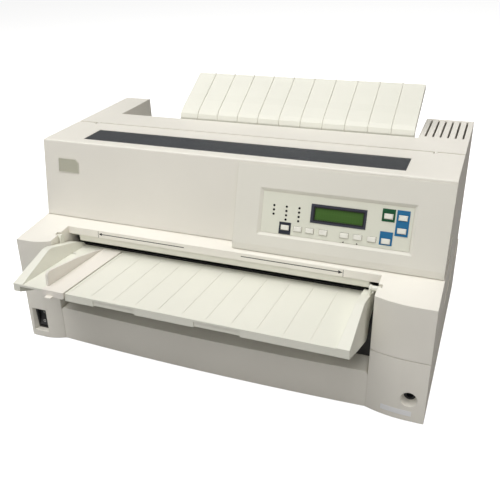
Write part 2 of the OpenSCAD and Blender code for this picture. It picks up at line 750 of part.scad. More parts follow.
module lamps_2d(grow)
    for (c = [0 : 2], i = [0 : (c == 0 ? 2 : 3)])
        translate([lamp_x[c], -lamp_s[i]]) circle(r = lamp_r + grow, $fn = 24);

module panel_sheet() color([0.8, 0.82, 0.75]) from_front() on_panel()
    translate([0, 0, -recess_t]) linear_extrude(sheet_t) difference() {
        panel_rect([recess_x, recess_s, recess_w, recess_h], -recess_rim - 0.2);
        panel_openings(0);
    }

module lcd_bezel() color([0.16, 0.17, 0.24]) from_front() on_panel() difference() {
    translate([0, 0, -recess_t - 3]) linear_extrude(3 + sheet_t + 0.5) panel_rect(lcd);
    translate([0, 0, -recess_t - 1.4]) linear_extrude(5)
        panel_rect([lcd[0] + lcd_view[0], lcd[1] + lcd_view[1], lcd_view[2], lcd_view[3]]);
}

module lcd_glass() color([0.33, 0.52, 0.22]) from_front() on_panel()
    translate([0, 0, -recess_t - 1.4]) linear_extrude(1.2)
        panel_rect([lcd[0] + lcd_view[0], lcd[1] + lcd_view[1], lcd_view[2], lcd_view[3]], -0.1);

module indicator_lamps() color([0.12, 0.12, 0.12]) from_front() on_panel()
    translate([0, 0, -recess_t - 2]) linear_extrude(2 + sheet_t + 0.2) lamps_2d(0);

// Coloured fields round some keys
module key_plate(r, keys) from_front() on_panel()
    translate([0, 0, -recess_t + sheet_t]) linear_extrude(plate_t) difference() {
        panel_rect(r);
        for (i = keys) key_outline(i, key_gap);
    }

module dark_key_plate() color([0.2, 0.22, 0.3]) key_plate([key_row[0] - 7.8, 73.6, 15.5, 15.4], [0]);
module green_key_plate() color([0.08, 0.36, 0.24]) key_plate([upper_x[0] - 7.8, 41.2, 15.4, 15.4], [8]);
module blue_key_plates() color([0.16, 0.44, 0.63]) {
    key_plate([upper_x[1] - 7.7, 41.2, 15.3, 31.1], [9, 10]);
    key_plate([key_row[7] - 7.7, 68.8, 15.4, 16.4], [7]);
}

// A key: a cap with drawn-in sides over a stem with a stop flange
module key(i) color([0.93, 0.93, 0.9]) from_front() on_panel()
    translate([key_places[i][0], -key_places[i][1], 0]) {
        top = -recess_t + sheet_t + key_rise;
        hull() {
            translate([0, 0, top - 0.1])
                linear_extrude(0.1) square([key_w - 1.2, key_h - 1.2], center = true);
            translate([0, 0, top - 1]) linear_extrude(0.1) square([key_w, key_h], center = true);
            translate([0, 0, -recess_t - 0.6]) linear_extrude(0.1) square([key_w, key_h], center = true);
        }
        translate([0, 0, -recess_t - 3.3]) linear_extrude(2.8) square([3, 3], center = true);
    }

module key_1() key(0);
module key_2() key(1);
module key_3() key(2);
module key_4() key(3);
module key_5() key(4);
module key_6() key(5);
module key_7() key(6);
module key_8() key(7);
module green_key() key(8);
module blue_key_upper() key(9);
module blue_key_lower() key(10);

// Rear paper support: a curved ribbed sheet on a hinge bar
support_curve = [[148.5, 260.5], [146.4, 266], [145.2, 272], [145.6, 278], [148.6, 284], [154, 289],
    [161, 293],
    [172, 299.1], [185, 305.6], [205, 316.5], [226, 328]];

// The curve moved sideways by t
function shifted(c, t) = [for (i = [0 : len(c) - 1])
    let (a = c[max(i - 1, 0)], b = c[min(i + 1, len(c) - 1)], d = (b - a) / norm(b - a))
        [c[i][0] - d[1] * t, c[i][1] + d[0] * t]];
function reversed(c) = [for (i = [len(c) - 1 : -1 : 0]) c[i]];

module support_profile(t0, t1) polygon(concat(shifted(support_curve, t0), reversed(shifted(support_curve, t1))));

module paper_support() color([0.94, 0.93, 0.9]) from_front() {
    across(support_left, support_right) support_profile(0, -support_t);
    bar_x(support_left, support_right, support_axis[0], support_axis[1], 4);
    bar_x(support_left - 7.5, support_left + 1, support_axis[0], support_axis[1], support_pin_r);
    bar_x(support_right - 1, well_right + wall, support_axis[0], support_axis[1], support_pin_r);
    // Ribs on the paper side and stiffening ribs at both edges
    for (i = [0 : support_ribs - 1]) {
        x = support_right - 32.5 - i * support_pitch;
        if (x > support_left + 3) across(x - 0.8, x + 0.8) support_profile(1.1, -eps);
    }
    for (x = [support_left, support_right - 2]) across(x, x + 2) support_profile(0, -9);
}

// Front table

// Tips what is drawn level up to the table's rise about its hinge axis
module on_table() translate([0, -table_axis_out, table_axis_z]) rotate([-table_rise, 0, 0])
    translate([0, table_axis_out, -table_axis_z]) children();

rim_draft = 5;              // how far the rims' inner faces spread on their way down
rim_top = table_z + 22;
rib_pitch = (table_right - table_left - 130) / (table_ribs - 1);
ear_w = 2.6;
ear_r = table_pin_r + 0.8;

// A rim with its hanging side plate; its outer face lies at x = 0
module rim() intersection() {
    across(0, rim_w + rim_draft)
        polygon(concat(
            [[-table_out, table_z - apron_h], [-table_out, table_z + 0.5], [-108, rim_top], [-100, rim_top],
            [-68, table_z + 15], [-50, table_z + 10.5], [table_rear - 3, table_z + 5],
            [table_rear, table_z], [table_rear, 120], [-62.5, 110]],
            arc(-76, 99, 9, 350, 250),
            [[-95.1, 96], [-131, 107.7]]));
    translate([0, table_rear + 1, 0]) rotate([90, 0, 0]) linear_extrude(table_out)
        polygon([[0, 80], [rim_w, 80], [rim_w, table_z - 1], [rim_w + rim_draft, table_z - 1],
            [rim_w + rim_draft, table_z], [rim_w, rim_top], [rim_w, rim_top + 1], [0, rim_top + 1]]);
}

// A thin ear on the rim's outer face with the table's hinge pin
module table_ear(pin) {
    across(0, ear_w)
        polygon(concat([[-table_axis_out - ear_r, table_z + 12]],
            arc(-table_axis_out, table_axis_z, ear_r, 180, 0, 12),
            [[-table_axis_out + ear_r, table_z + 12]]));
    bar_x(-pin, ear_w, -table_axis_out, table_axis_z, table_pin_r);
}

module table_halves() {
    translate([table_left, 0, 0]) children(0);
    translate([table_right, 0, 0]) mirror([1, 0, 0]) children(1);
}

module front_table() color([0.94, 0.94, 0.9]) from_front() on_table() difference() {
    union() {
        table_halves() { rim(); rim(); }
        table_halves() { table_ear(table_gap_left + pin_in); table_ear(table_gap_right + pin_in); }
        block([table_left + 1, -table_out, table_z - table_t], [table_right - 1, table_rear, table_z]);
        // Apron, with some stretches set back and up
        block([thin_end, -table_out + apron_step, table_z - apron_h + apron_step],
            [table_right - 1, -table_out + 5, table_z - 1]);
        for (s = deep_ends)
            block([s[0], -table_out, table_z - apron_h],
                [min(s[1], table_right - 1), -table_out + 4, table_z - 1]);
        // Rear edge turned down
        block([table_left + 1, table_rear - 2.5, table_z - 6], [table_right - 1, table_rear, table_z - 1]);
        // Low ribs under the paper
        for (i = [0 : table_ribs - 1])
            translate([table_left + 84 + i * rib_pitch, 0, 0])
                block([0, -table_out + 8, table_z - 1], [1, -44, table_z + 0.3]);
    }
    block([table_left + 14, -66.5, table_z - table_t - 1], [table_left + 21.5, -64.5, table_z + 1]);
    // The rims are hollow from below
    table_halves() { rim_hollow(); rim_hollow(); }
}

module rim_hollow() across(2.2, rim_w - 2.2)
    polygon([[-table_out + 12, table_z - apron_h - 6], [-table_out + 12, table_z + 1], [-108, rim_top - 4],
        [-101, rim_top - 4], [-76, table_z + 10], [-76, 85], [-95, 80]]);

// Edge guide that slides across the table
guide_z = table_z + 0.7;
guide_t = 1.2;
guide_lip = 3;
tab_x = [7, 16.5];          // the tab's sides, from the fin's left face

module edge_guide() color([0.96, 0.96, 0.94]) from_front() on_table() {
    block([guide_x, -table_out - guide_lip, guide_z], [guide_x + guide_w, -38, guide_z + guide_t]);
    // Fin
    across(guide_x, guide_x + 3.4)
        polygon(concat([[-166, guide_z]], arc(-160, guide_z + 15, 5, 175, 80, 5),
            [[-99, guide_z + 13], [-70, guide_z + 7.5], [-39, guide_z + 1]]));
    // Lip over the table's front edge, with rounded lower corners, and its finger tab
    translate([0, -table_out - 0.5, 0]) rotate([90, 0, 0]) linear_extrude(guide_lip - 0.5)
        polygon(concat([[guide_x + guide_w, guide_z + guide_t]], [[guide_x, guide_z + guide_t]],
            arc(guide_x + 3, guide_foot + 3, 3, 180, 270, 5),
                arc(guide_x + guide_w - 3, guide_foot + 3, 3, 270, 360, 5)));
    block([guide_x + tab_x[0], -table_out - tab_reach, guide_foot],
        [guide_x + tab_x[1], -table_out - 2, guide_foot + 2]);
}

// Mechanism

module chassis_plate() color([0.7, 0.71, 0.72]) from_front() {
    block([-frame_x, frame_y[0] + 2, chassis_z], [frame_x, frame_y[1] - 6, chassis_z + 2]);
    for (y = [frame_y[0] + 2, frame_y[1] - 8]) block([-frame_x, y, chassis_z],
        [frame_x, y + 2, chassis_z + 12]);
}

module side_frame_profile() difference() {
    polygon([[frame_y[0], frame_z[0]], [frame_y[1], frame_z[0]], [frame_y[1] - 3, frame_z[1] - 10],
        [frame_y[1] - 10, frame_z[1]], [80, frame_z[1]], [30, 195], [23, 180], [23, 162], [-5, 160],
            [frame_y[0], 135]]);
    translate([platen_y, platen_z]) circle(r = platen_shaft_r + run_gap);
    for (y = feed_y) {
        translate([y, feed_z]) circle(r = feed_shaft_r + run_gap);
        translate([y, press_z]) circle(r = feed_shaft_r + run_gap);
    }
    translate(rod_at) circle(r = rod_r - 1);
    translate(motor_at) circle(r = motor_shaft_r + 1.5);
}

module side_frames() color([0.72, 0.73, 0.74]) from_front() {
    across(-frame_x - frame_t, -frame_x) side_frame_profile();
    across(frame_x, frame_x + frame_t) side_frame_profile();
    // Shelf for the carriage motor and bracket for the idler
    difference() {
        block([cpulley_x - 20, cbelt_y - 19, 192.5], [frame_x + eps, cbelt_y + 13, 194.5]);
        translate([cpulley_x, cbelt_y, 190]) cylinder(h = 8, r = 4);
    }
    difference() {
        block([-frame_x - eps, cbelt_y - 10, 192.5], [-cpulley_x + 10, cbelt_y + 10, 194.5]);
        translate([-cpulley_x, cbelt_y, 190]) cylinder(h = 8, r = 2.5 + run_gap);
    }
}

module paper_guides() color([0.25, 0.25, 0.27]) from_front()
    for (g = [[frame_y[0], feed_y[0] - feed_r - 3], [feed_y[0] + feed_r + 3, platen_y - platen_r - 3],
            [platen_y + platen_r + 1.5, feed_y[1] - feed_r - 1], [feed_y[1] + feed_r + 1, frame_y[1]]])
        block([-frame_x, g[0], path_z - 3], [frame_x, g[1], path_z - 1.5]);

module platen_roller() color([0.13, 0.13, 0.14]) from_front() difference() {
    bar_x(middle_x - platen_l / 2, middle_x + platen_l / 2, platen_y, platen_z, platen_r);
    bar_x(middle_x - platen_l, middle_x + platen_l, platen_y, platen_z, platen_shaft_r + 0.02);
}

// A toothed pulley's disc with two flanges, about the X axis
module pulley_x(y, z, r) {
    bar_x(pulley_x, pulley_x + belt_w + 2, y, z, r);
    for (x = [0, belt_w + 1]) bar_x(pulley_x + x, pulley_x + x + 1, y, z, r + 1);
}

module platen_shaft() color([0.78, 0.78, 0.8]) from_front() {
    bar_x(pulley_x, frame_x + 8, platen_y, platen_z, platen_shaft_r);
    pulley_x(platen_y, platen_z, platen_r);
}

module feed_roller(y) color([0.3, 0.3, 0.32]) from_front() {
    bar_x(pulley_x, frame_x + 6, y, feed_z, feed_shaft_r);
    pulley_x(y, feed_z, feed_r);
    for (i = [-2 : 2]) translate([middle_x + i * roller_pitch, 0, 0]) bar_x(-14, 14, y, feed_z, feed_r);
}

module front_feed_roller() feed_roller(feed_y[0]);
module rear_feed_roller() feed_roller(feed_y[1]);

module press_roller(y) color([0.62, 0.62, 0.64]) from_front() {
    bar_x(-frame_x - 6, frame_x + 6, y, press_z, feed_shaft_r);
    for (i = [-2 : 2]) translate([middle_x + i * roller_pitch, 0, 0]) bar_x(-12, 12, y, press_z, press_r);
}

module front_press_roller() press_roller(feed_y[0]);
module rear_press_roller() press_roller(feed_y[1]);

module feed_motor() color([0.45, 0.46, 0.48]) from_front() difference() {
    union() {
        bar_x(-frame_x, -frame_x + motor_l, motor_at[0], motor_at[1], motor_r);
        translate([-frame_x, motor_at[0], motor_at[1]])
            block([0, -motor_flange[0], -motor_flange[1]], [2, motor_flange[0], motor_flange[1]]);
    }
    bar_x(-frame_x - 1, -frame_x + motor_l - 4, motor_at[0], motor_at[1], motor_shaft_r + run_gap);
}

module motor_pulley() color([0.8, 0.8, 0.82]) from_front() {
    bar_x(pulley_x, -frame_x + motor_l - 6, motor_at[0], motor_at[1], motor_shaft_r);
    pulley_x(motor_at[0], motor_at[1], motor_pulley_r);
}

// Outline round all four feed pulleys, grown by g
module belt_outline(g) hull() {
    for (y = feed_y) translate([y, feed_z]) circle(r = feed_r + g);
    translate([platen_y, platen_z]) circle(r = platen_r + g);
    translate(motor_at) circle(r = motor_pulley_r + g);
}

module feed_belt() color([0.1, 0.1, 0.1]) from_front()
    across(pulley_x + 1.2, pulley_x + 0.8 + belt_w) difference() {
        belt_outline(belt_gap + belt_t);
        belt_outline(belt_gap);
    }

module carriage_shaft() color([0.8, 0.8, 0.82]) from_front() {
    bar_x(-frame_x, frame_x, rod_at[0], rod_at[1], rod_r);
    for (x = [-frame_x - frame_t - 2, frame_x - eps])
        bar_x(x, x + frame_t + 2 + eps, rod_at[0], rod_at[1], rod_r - 1.1);
}

module carriage_rail() color([0.7, 0.71, 0.72]) from_front() {
    block([-frame_x, rail_at[0] - 6, rail_at[1]], [frame_x, rail_at[0] + 4, rail_at[1] + 2]);
    block([-frame_x, rail_at[0] - 6, rail_at[1] - 14], [frame_x, rail_at[0] - 4, rail_at[1] + 1]);
}

module carriage() color([0.16, 0.16, 0.17]) from_front() translate([carriage_x, 0, 0]) difference() {
    union() {
        bar_x(-30, 30, rod_at[0], rod_at[1], rod_r + 4);
        block([-30, 36, rail_at[1] + 2.3], [30, rod_at[0], rail_at[1] + 7]);
        block([-24, 52, 164], [24, 58, rail_at[1] + 4]);
        block([-24, 92, 164], [24, 96, rod_at[1]]);
        // Clip round the front run of the carriage belt
        block([-10, rod_at[0], cbelt_z - 6], [10, cbelt_y - cpulley_r + 3, cbelt_z + 6]);
    }
    bar_x(-31, 31, rod_at[0], rod_at[1], rod_r + run_gap);
    block([-11, cbelt_y - cpulley_r - belt_t - 0.6, cbelt_z - 3.4],
        [11, cbelt_y - cpulley_r + 3.5, cbelt_z + 3.4]);
    block([-16, 60, 150], [16, 90, 200]);
}

head_z = [158, 196];
head_fins = 6;

module print_head() color([0.2, 0.2, 0.22]) from_front() translate([carriage_x, 0, 0]) {
    block([-15.8, platen_y - 14.8, head_z[0]], [15.8, platen_y + 13.8, head_z[1]]);
    for (i = [0 : head_fins - 1]) translate([0, platen_y, head_z[1] + i * 4]) block([-20, -17, 0],
        [20, 15, 2]);
    translate([0, platen_y, head_z[1] - 1]) block([-14, -11, 0], [14, 9, head_fins * 4]);
    translate([0, platen_y, 0]) hull() {
        block([-12, -12, head_z[0]], [12, 12, head_z[0] + 1]);
        block([-4, -2, path_z + 1.2], [4, 2, path_z + 2]);
    }
}

module ribbon_cartridge() color([0.1, 0.1, 0.11]) from_front() translate([carriage_x, 0, 0]) {
    z = rail_at[1] + 7;
    block([-46, 20, z], [46, 55, z + 15]);
    for (x = [-46, 34]) {
        block([x, 54, z + 3], [x + 12, 82, z + 15]);
        block([x, 68, path_z + 9], [x + 12, 82, z + 4]);
    }
    translate([30, 34, z + 14]) cylinder(h = 8, r = 7);
}

module carriage_motor() color([0.45, 0.46, 0.48]) from_front()
    translate([cpulley_x, cbelt_y, 0]) difference() {
    translate([0, 0, 194.5]) cylinder(h = 34, r = 17.5);
    translate([0, 0, 194]) cylinder(h = 30, r = 2.5 + run_gap);
}

module belt_pulley(x) color([0.8, 0.8, 0.82]) from_front() translate([x, cbelt_y, 0]) {
    translate([0, 0, cbelt_z - 4]) cylinder(h = 8, r = cpulley_r);
    translate([0, 0, cbelt_z - 4]) cylinder(h = 1, r = cpulley_r + 0.1);
    translate([0, 0, cbelt_z]) cylinder(h = 30, r = 2.5);
}

module drive_pulley() belt_pulley(cpulley_x);
module idler_pulley() color([0.8, 0.8, 0.82]) from_front() translate([-cpulley_x, cbelt_y, 0]) {
    translate([0, 0, cbelt_z - 4]) cylinder(h = 8, r = cpulley_r);
    translate([0, 0, cbelt_z]) cylinder(h = 12, r = 2.5);
}

module cbelt_outline(g) hull()
    for (x = [-cpulley_x, cpulley_x]) translate([x, cbelt_y]) circle(r = cpulley_r + g);

module carriage_belt() color([0.1, 0.1, 0.1]) from_front()
    translate([0, 0, cbelt_z - 2.5]) linear_extrude(5) difference() {
        cbelt_outline(belt_gap + belt_t);
        cbelt_outline(belt_gap);
    }

base_pan();
front_cover();
guide_strip();
cavity_panel();
rear_case();
feet();
switch_housing();
power_rocker();
jack_socket();
power_inlet();
interface_connector();
hood();
hinge_pins();
hood_window();
panel_housing();
panel_sheet();
lcd_bezel();
lcd_glass();
indicator_lamps();
panel_board();
dark_key_plate();
green_key_plate();
blue_key_plates();
key_1();
key_2();
key_3();
key_4();
key_5();
key_6();
key_7();
key_8();
green_key();
blue_key_upper();
blue_key_lower();
latch_left();
latch_right();
paper_support();
front_table();
edge_guide();
chassis_plate();
side_frames();
paper_guides();
platen_roller();
platen_shaft();
front_feed_roller();
rear_feed_roller();
front_press_roller();
rear_press_roller();
feed_motor();
motor_pulley();
feed_belt();
carriage();
print_head();
ribbon_cartridge();
carriage_shaft();
carriage_rail();
carriage_motor();
drive_pulley();
idler_pulley();
carriage_belt();
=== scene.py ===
import json
import math

import bmesh
import bpy
from mathutils import Matrix, Vector


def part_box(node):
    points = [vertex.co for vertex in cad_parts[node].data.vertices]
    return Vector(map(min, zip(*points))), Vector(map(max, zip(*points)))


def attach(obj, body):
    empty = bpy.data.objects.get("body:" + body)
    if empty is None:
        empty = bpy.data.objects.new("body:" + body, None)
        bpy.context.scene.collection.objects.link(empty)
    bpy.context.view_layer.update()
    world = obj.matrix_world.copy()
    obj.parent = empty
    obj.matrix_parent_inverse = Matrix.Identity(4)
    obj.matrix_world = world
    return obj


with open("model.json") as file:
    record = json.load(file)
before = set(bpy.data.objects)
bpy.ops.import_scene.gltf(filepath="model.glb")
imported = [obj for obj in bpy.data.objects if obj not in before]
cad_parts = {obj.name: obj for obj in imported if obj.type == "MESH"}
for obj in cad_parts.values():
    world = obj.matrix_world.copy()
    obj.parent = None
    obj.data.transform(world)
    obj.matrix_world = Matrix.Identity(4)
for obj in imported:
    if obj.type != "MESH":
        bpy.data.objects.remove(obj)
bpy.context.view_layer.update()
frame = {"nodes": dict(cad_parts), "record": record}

NODES = frame["nodes"]
MM = 0.001
REAR_DEPTH = 233.0                # from the hood's top front edge back to the rear wall
TOP = 276.8                       # height of the hood's top face
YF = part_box("rear_case")[1].y / MM - REAR_DEPTH     # where the hood's top front edge lies along Y


# Camera

CAMERA_TURN = (23.03, -28.92, 2.59)                 # degrees: heading, tilt down, roll
CAMERA_PLACE = (318.807, -703.838, 555.943)
PHOTO_SIDE = 500                                    # pixels
FOCAL_LENGTH = 626.603                              # pixels
OPTICAL_MIDDLE = (244.325, 256.408)                 # pixels, from the photograph's top left corner
SENSOR = 36


def turned(axis, degrees):
    return Matrix.Rotation(math.radians(degrees), 3, axis)


def make_camera():
    heading, tilt, roll = CAMERA_TURN
    turn = turned("Z", heading) @ turned("X", tilt) @ turned("Y", roll)
    right, ahead, up = (turn.col[i].copy() for i in range(3))
    cam = bpy.data.objects.new("camera", bpy.data.cameras.new("camera"))
    bpy.context.scene.collection.objects.link(cam)
    place = Matrix((right, up, -ahead)).transposed().to_4x4()
    x, y, z = CAMERA_PLACE
    place.translation = Vector((x, y + YF, z)) * MM
    cam.matrix_world = place
    half = PHOTO_SIDE / 2
    cam.data.sensor_width = SENSOR
    cam.data.lens = FOCAL_LENGTH / PHOTO_SIDE * SENSOR
    cam.data.shift_x = (half - OPTICAL_MIDDLE[0]) / PHOTO_SIDE
    cam.data.shift_y = (OPTICAL_MIDDLE[1] - half) / PHOTO_SIDE
    cam.data.clip_end = 50
    bpy.context.scene.camera = cam


make_camera()


# Shader building blocks

# Tint of the painted shade that ambient occlusion lays in corners and seams; dusty in hue.
DUST_AND_SHADE_TINT = (0.62, 0.5713, 0.47, 1)
BUMP_DEPTH = 0.0002
MACHINED_DEPTH = 0.00005


def linear(c):
    """One sRGB channel, 0 to 255, as linear light."""
    c = c / 255
    return c / 12.92 if c <= 0.04045 else ((c + 0.055) / 1.055) ** 2.4


def srgb(r, g, b):
    return tuple(linear(c) for c in (r, g, b))


def node(tree, kind, **values):
    n = tree.nodes.new(kind)
    for key, value in values.items():
        setattr(n, key, value)
    return n


def new_material(name):
    mat = bpy.data.materials.new(name)
    mat.use_nodes = True
    return mat, mat.node_tree, mat.node_tree.nodes["Principled BSDF"]


def place_in(tree):
    """Coordinates that stay with the object."""
    return node(tree, "ShaderNodeTexCoord").outputs["Object"]


def noise(tree, where, scale, detail=2.0):
    n = node(tree, "ShaderNodeTexNoise")
    n.inputs["Scale"].default_value = scale
    n.inputs["Detail"].default_value = detail
    tree.links.new(where, n.inputs["Vector"])
    return n.outputs["Fac"]


def remap(tree, value, low, high, from_low=0.0, from_high=1.0):
    n = node(tree, "ShaderNodeMapRange")
    n.inputs["From Min"].default_value = from_low
    n.inputs["From Max"].default_value = from_high
    n.inputs["To Min"].default_value = low
    n.inputs["To Max"].default_value = high
    tree.links.new(value, n.inputs["Value"])
    return n.outputs["Result"]


def blend(tree, mode, amount, first, second):
    """Mix of two colours; each of the three may be a value or another node's output."""
    n = node(tree, "ShaderNodeMix", data_type="RGBA", blend_type=mode)
    for index, value in ((0, amount), (6, first), (7, second)):
        if isinstance(value, bpy.types.NodeSocket):
            tree.links.new(value, n.inputs[index])
        else:
            n.inputs[index].default_value = value
    return n.outputs[2]


def math_node(tree, operation, first, second=None):
    n = node(tree, "ShaderNodeMath", operation=operation)
    for index, value in enumerate((first, second)):
        if isinstance(value, bpy.types.NodeSocket):
            tree.links.new(value, n.inputs[index])
        elif value is not None:
            n.inputs[index].default_value = value
    return n.outputs[0]


def relief(tree, height, strength, depth, edge):
    """Fine bumps over edges that the shader rounds."""
    bump = node(tree, "ShaderNodeBump")
    bump.inputs["Strength"].default_value = strength
    bump.inputs["Distance"].default_value = depth
    tree.links.new(height, bump.inputs["Height"])
    if edge > 0:
        bevel = node(tree, "ShaderNodeBevel", samples=4)
        bevel.inputs["Radius"].default_value = edge
        tree.links.new(bevel.outputs["Normal"], bump.inputs["Normal"])
    tree.links.new(bump.outputs["Normal"], tree.nodes["Principled BSDF"].inputs["Normal"])


# Kinds of material

def plastic(name, color, rough=0.5, grain=1500.0, bump=0.12, mottle=0.025, wear=0.04, grime=0.25,
            edge=0.0008, coat=0.0):
    """Moulded plastic: fine grain, slow shifts of tone, brighter edges, and painted shade with a dusty
    tint in the corners and seams.
    """
    mat, t, shader = new_material(name)
    where = place_in(t)
    slow = noise(t, where, 7.0, detail=4.0)
    tone = remap(t, slow, 1.0 - mottle, 1.0 + mottle, from_low=0.3, from_high=0.7)
    base = blend(t, "MULTIPLY", 1.0, (*color, 1), tone)
    pointed = node(t, "ShaderNodeNewGeometry").outputs["Pointiness"]
    rubbed = remap(t, pointed, 0.0, wear, from_low=0.5, from_high=0.62)
    worn = blend(t, "ADD", rubbed, base, (1, 1, 1, 1))
    # Painted shade: ambient occlusion darkens corners, creases and seams towards a dusty tint. It stands
    # in for shade and for dirt together.
    corners = node(t, "ShaderNodeAmbientOcclusion", samples=6)
    corners.inputs["Distance"].default_value = 0.006
    dust_and_shade_amount = remap(t, corners.outputs["AO"], grime, 0.0, from_low=0.35, from_high=0.95)
    t.links.new(blend(t, "MULTIPLY", dust_and_shade_amount, worn, DUST_AND_SHADE_TINT), shader.inputs["Base Color"])
    relief(t, noise(t, where, grain), bump, BUMP_DEPTH, edge)
    gloss = remap(t, slow, max(rough - 0.06, 0.02), min(rough + 0.06, 1))
    t.links.new(gloss, shader.inputs["Roughness"])
    if coat:
        shader.inputs["Coat Weight"].default_value = coat
        shader.inputs["Coat Roughness"].default_value = 0.15
    return mat


def film(name, color, rough=0.4, **look):
    """Printed film or ink: flat, without worn or rounded edges."""
    return plastic(name, color, rough=rough, wear=0, edge=0, **look)


def metal(name, color, rough=0.3, brush=(1, 1, 1), streak=900.0):
    """Metal with fine machining or rolling lines and slightly uneven gloss."""
    mat, t, shader = new_material(name)
    shader.inputs["Metallic"].default_value = 1.0
    where = place_in(t)
    stretched = node(t, "ShaderNodeMapping")
    stretched.inputs["Scale"].default_value = brush
    t.links.new(where, stretched.inputs["Vector"])
    lines = noise(t, stretched.outputs["Vector"], streak, detail=3.0)
    t.links.new(remap(t, lines, max(rough - 0.1, 0.03), rough + 0.12), shader.inputs["Roughness"])
    darker = tuple(c * 0.82 for c in color)
    shade = blend(t, "MIX", noise(t, where, 30.0), (*color, 1), (*darker, 1))
    t.links.new(shade, shader.inputs["Base Color"])
    relief(t, lines, 0.15, MACHINED_DEPTH, 0.0004)
    return mat


def cells(tree, along, pitch, width):
    """1 within each cell of a row, 0 between two cells."""
    offset = math_node(tree, "ABSOLUTE", math_node(tree, "MODULO", along, pitch))
    return math_node(tree, "LESS_THAN", offset, width)


def display(name):
    """Liquid crystal display: green field with rows of faint character cells under glass."""
    mat = plastic(name, srgb(78, 114, 54), rough=0.25, bump=0.02, mottle=0.06, wear=0, grime=0.5, edge=0,
                  coat=0.6)
    t = mat.node_tree
    color = t.nodes["Principled BSDF"].inputs["Base Color"]
    axes = node(t, "ShaderNodeSeparateXYZ")
    t.links.new(place_in(t), axes.inputs["Vector"])
    across = cells(t, axes.outputs["X"], 0.0034, 0.0028)
    down = cells(t, axes.outputs["Z"], 0.0062, 0.0050)
    faint = math_node(t, "MULTIPLY", math_node(t, "MULTIPLY", across, down), 0.12)
    field = color.links[0].from_socket
    t.links.new(blend(t, "MULTIPLY", faint, field, (0.45, 0.55, 0.40, 1)), color)
    return mat


def smoked(name):
    """Smoked acrylic: dark, glossy, a little of the inside shows through."""
    mat = plastic(name, (0.115, 0.122, 0.132), rough=0.16, bump=0.0, mottle=0.1, wear=0, grime=0.1,
                  edge=0.0004)
    shader = mat.node_tree.nodes["Principled BSDF"]
    shader.inputs["Transmission Weight"].default_value = 0.25
    shader.inputs["IOR"].default_value = 1.49
    return mat


# Materials, by slot

M = {
    "housing": plastic("housing_plastic", srgb(240, 237, 228), rough=0.52, edge=0.0012),
    "panel": plastic("panel_plastic", srgb(230, 228, 218), rough=0.5, edge=0.0012),
    "table": plastic("table_plastic", srgb(236, 236, 225), rough=0.42, bump=0.06, wear=0.02, grime=0.1),
    "window": smoked("smoked_acrylic"),
    "dark": plastic("dark_plastic", srgb(29, 29, 31), rough=0.42, wear=0.02, mottle=0.08, edge=0.0005),
    "rubber": plastic("rubber", srgb(38, 38, 38), rough=0.75, grain=2500, bump=0.3, wear=0.01, mottle=0.12,
                      edge=0.0005),
    "steel": metal("ground_steel", (0.62, 0.62, 0.63), rough=0.25, brush=(0.02, 1, 1)),
    "plate": metal("zinc_plate", (0.60, 0.61, 0.60), rough=0.38, streak=250.0),
    "motor": metal("motor_case", (0.16, 0.16, 0.17), rough=0.45),
    "sheet": film("printed_film", srgb(234, 235, 221), rough=0.38, bump=0.04, mottle=0.015),
    "bezel": plastic("display_bezel", srgb(54, 56, 70), rough=0.35, bump=0.04, wear=0.02, mottle=0.05,
                     edge=0.0003),
    "lcd": display("display_green"),
    "lamp": plastic("lamp_lens", srgb(20, 22, 22), rough=0.15, bump=0.0, wear=0, mottle=0.1, edge=0.0004,
                    coat=0.8),
    "board": plastic("circuit_board", srgb(40, 92, 58), rough=0.35, mottle=0.2, wear=0, edge=0.0002),
    "key": plastic("key_plastic", srgb(244, 243, 234), rough=0.4, bump=0.04, edge=0.0005),
    "dark_field": film("dark_film", srgb(44, 48, 60), bump=0.03),
    "green_field": film("green_film", srgb(12, 84, 50), bump=0.03),
    "blue_field": film("blue_film", srgb(36, 114, 164), bump=0.03),
}
GUIDE = plastic("guide_plastic", srgb(238, 234, 226), rough=0.36, bump=0.05, wear=0.02, grime=0.1,
                edge=0.0007)
INK = film("printing_ink", srgb(38, 38, 40), rough=0.5, bump=0.02, grime=0.05)
PALE_INK = film("pale_ink", srgb(205, 205, 202), rough=0.5, bump=0.02, grime=0.1)
NAME_PLATE = plastic("name_plate_film", srgb(186, 185, 168), rough=0.4, bump=0.03, wear=0.02, mottle=0.04,
                     edge=0.0003)
LABEL = plastic("paper_label", srgb(252, 253, 255), rough=0.6, grain=900, bump=0.05, wear=0, mottle=0.02,
                edge=0.0002)

SLOT = {part["node"]: part["material_slot"] for part in frame["record"]["subparts"]}
for name, obj in NODES.items():
    obj.data.materials.clear()
    obj.data.materials.append(GUIDE if name == "edge_guide" else M[SLOT[name]])


# Faces that pieces lie on: across, along the face, and out of it, in millimetres

HOOD_LEAN = 0.19647               # of the hood's front face, per millimetre down
HOOD_SIN, HOOD_COS = 0.19278, 0.98123
PANEL_SIN, PANEL_COS = 0.33617, 0.94183
LIP_SIN, LIP_COS = 0.14142, 0.98995
LIP_EDGE = (-45.5, 164.707)       # Y and Z of the lip's upper edge
BLOCK_FOOT = -106.856             # Y of the right block's front face at the floor
BLOCK_FALL = math.tan(math.radians(3.97))
BLOCK_FLAT_FROM = 268.0
BLOCK_BOW_OVER = 50.5
BLOCK_BOW = 8.3


def pt(x, y, z):
    """A point given like the part's sizes, from the hood's top front edge."""
    return Vector((x * MM, (y + YF) * MM, z * MM))


def on_hood(x, z, out=0.0):
    return pt(x, -HOOD_LEAN * (TOP - z) - out * HOOD_COS, z + out * HOOD_SIN)


def on_panel(x, down, out=0.0):
    return pt(x, -PANEL_SIN * down - PANEL_COS * out, TOP - PANEL_COS * down + PANEL_SIN * out)


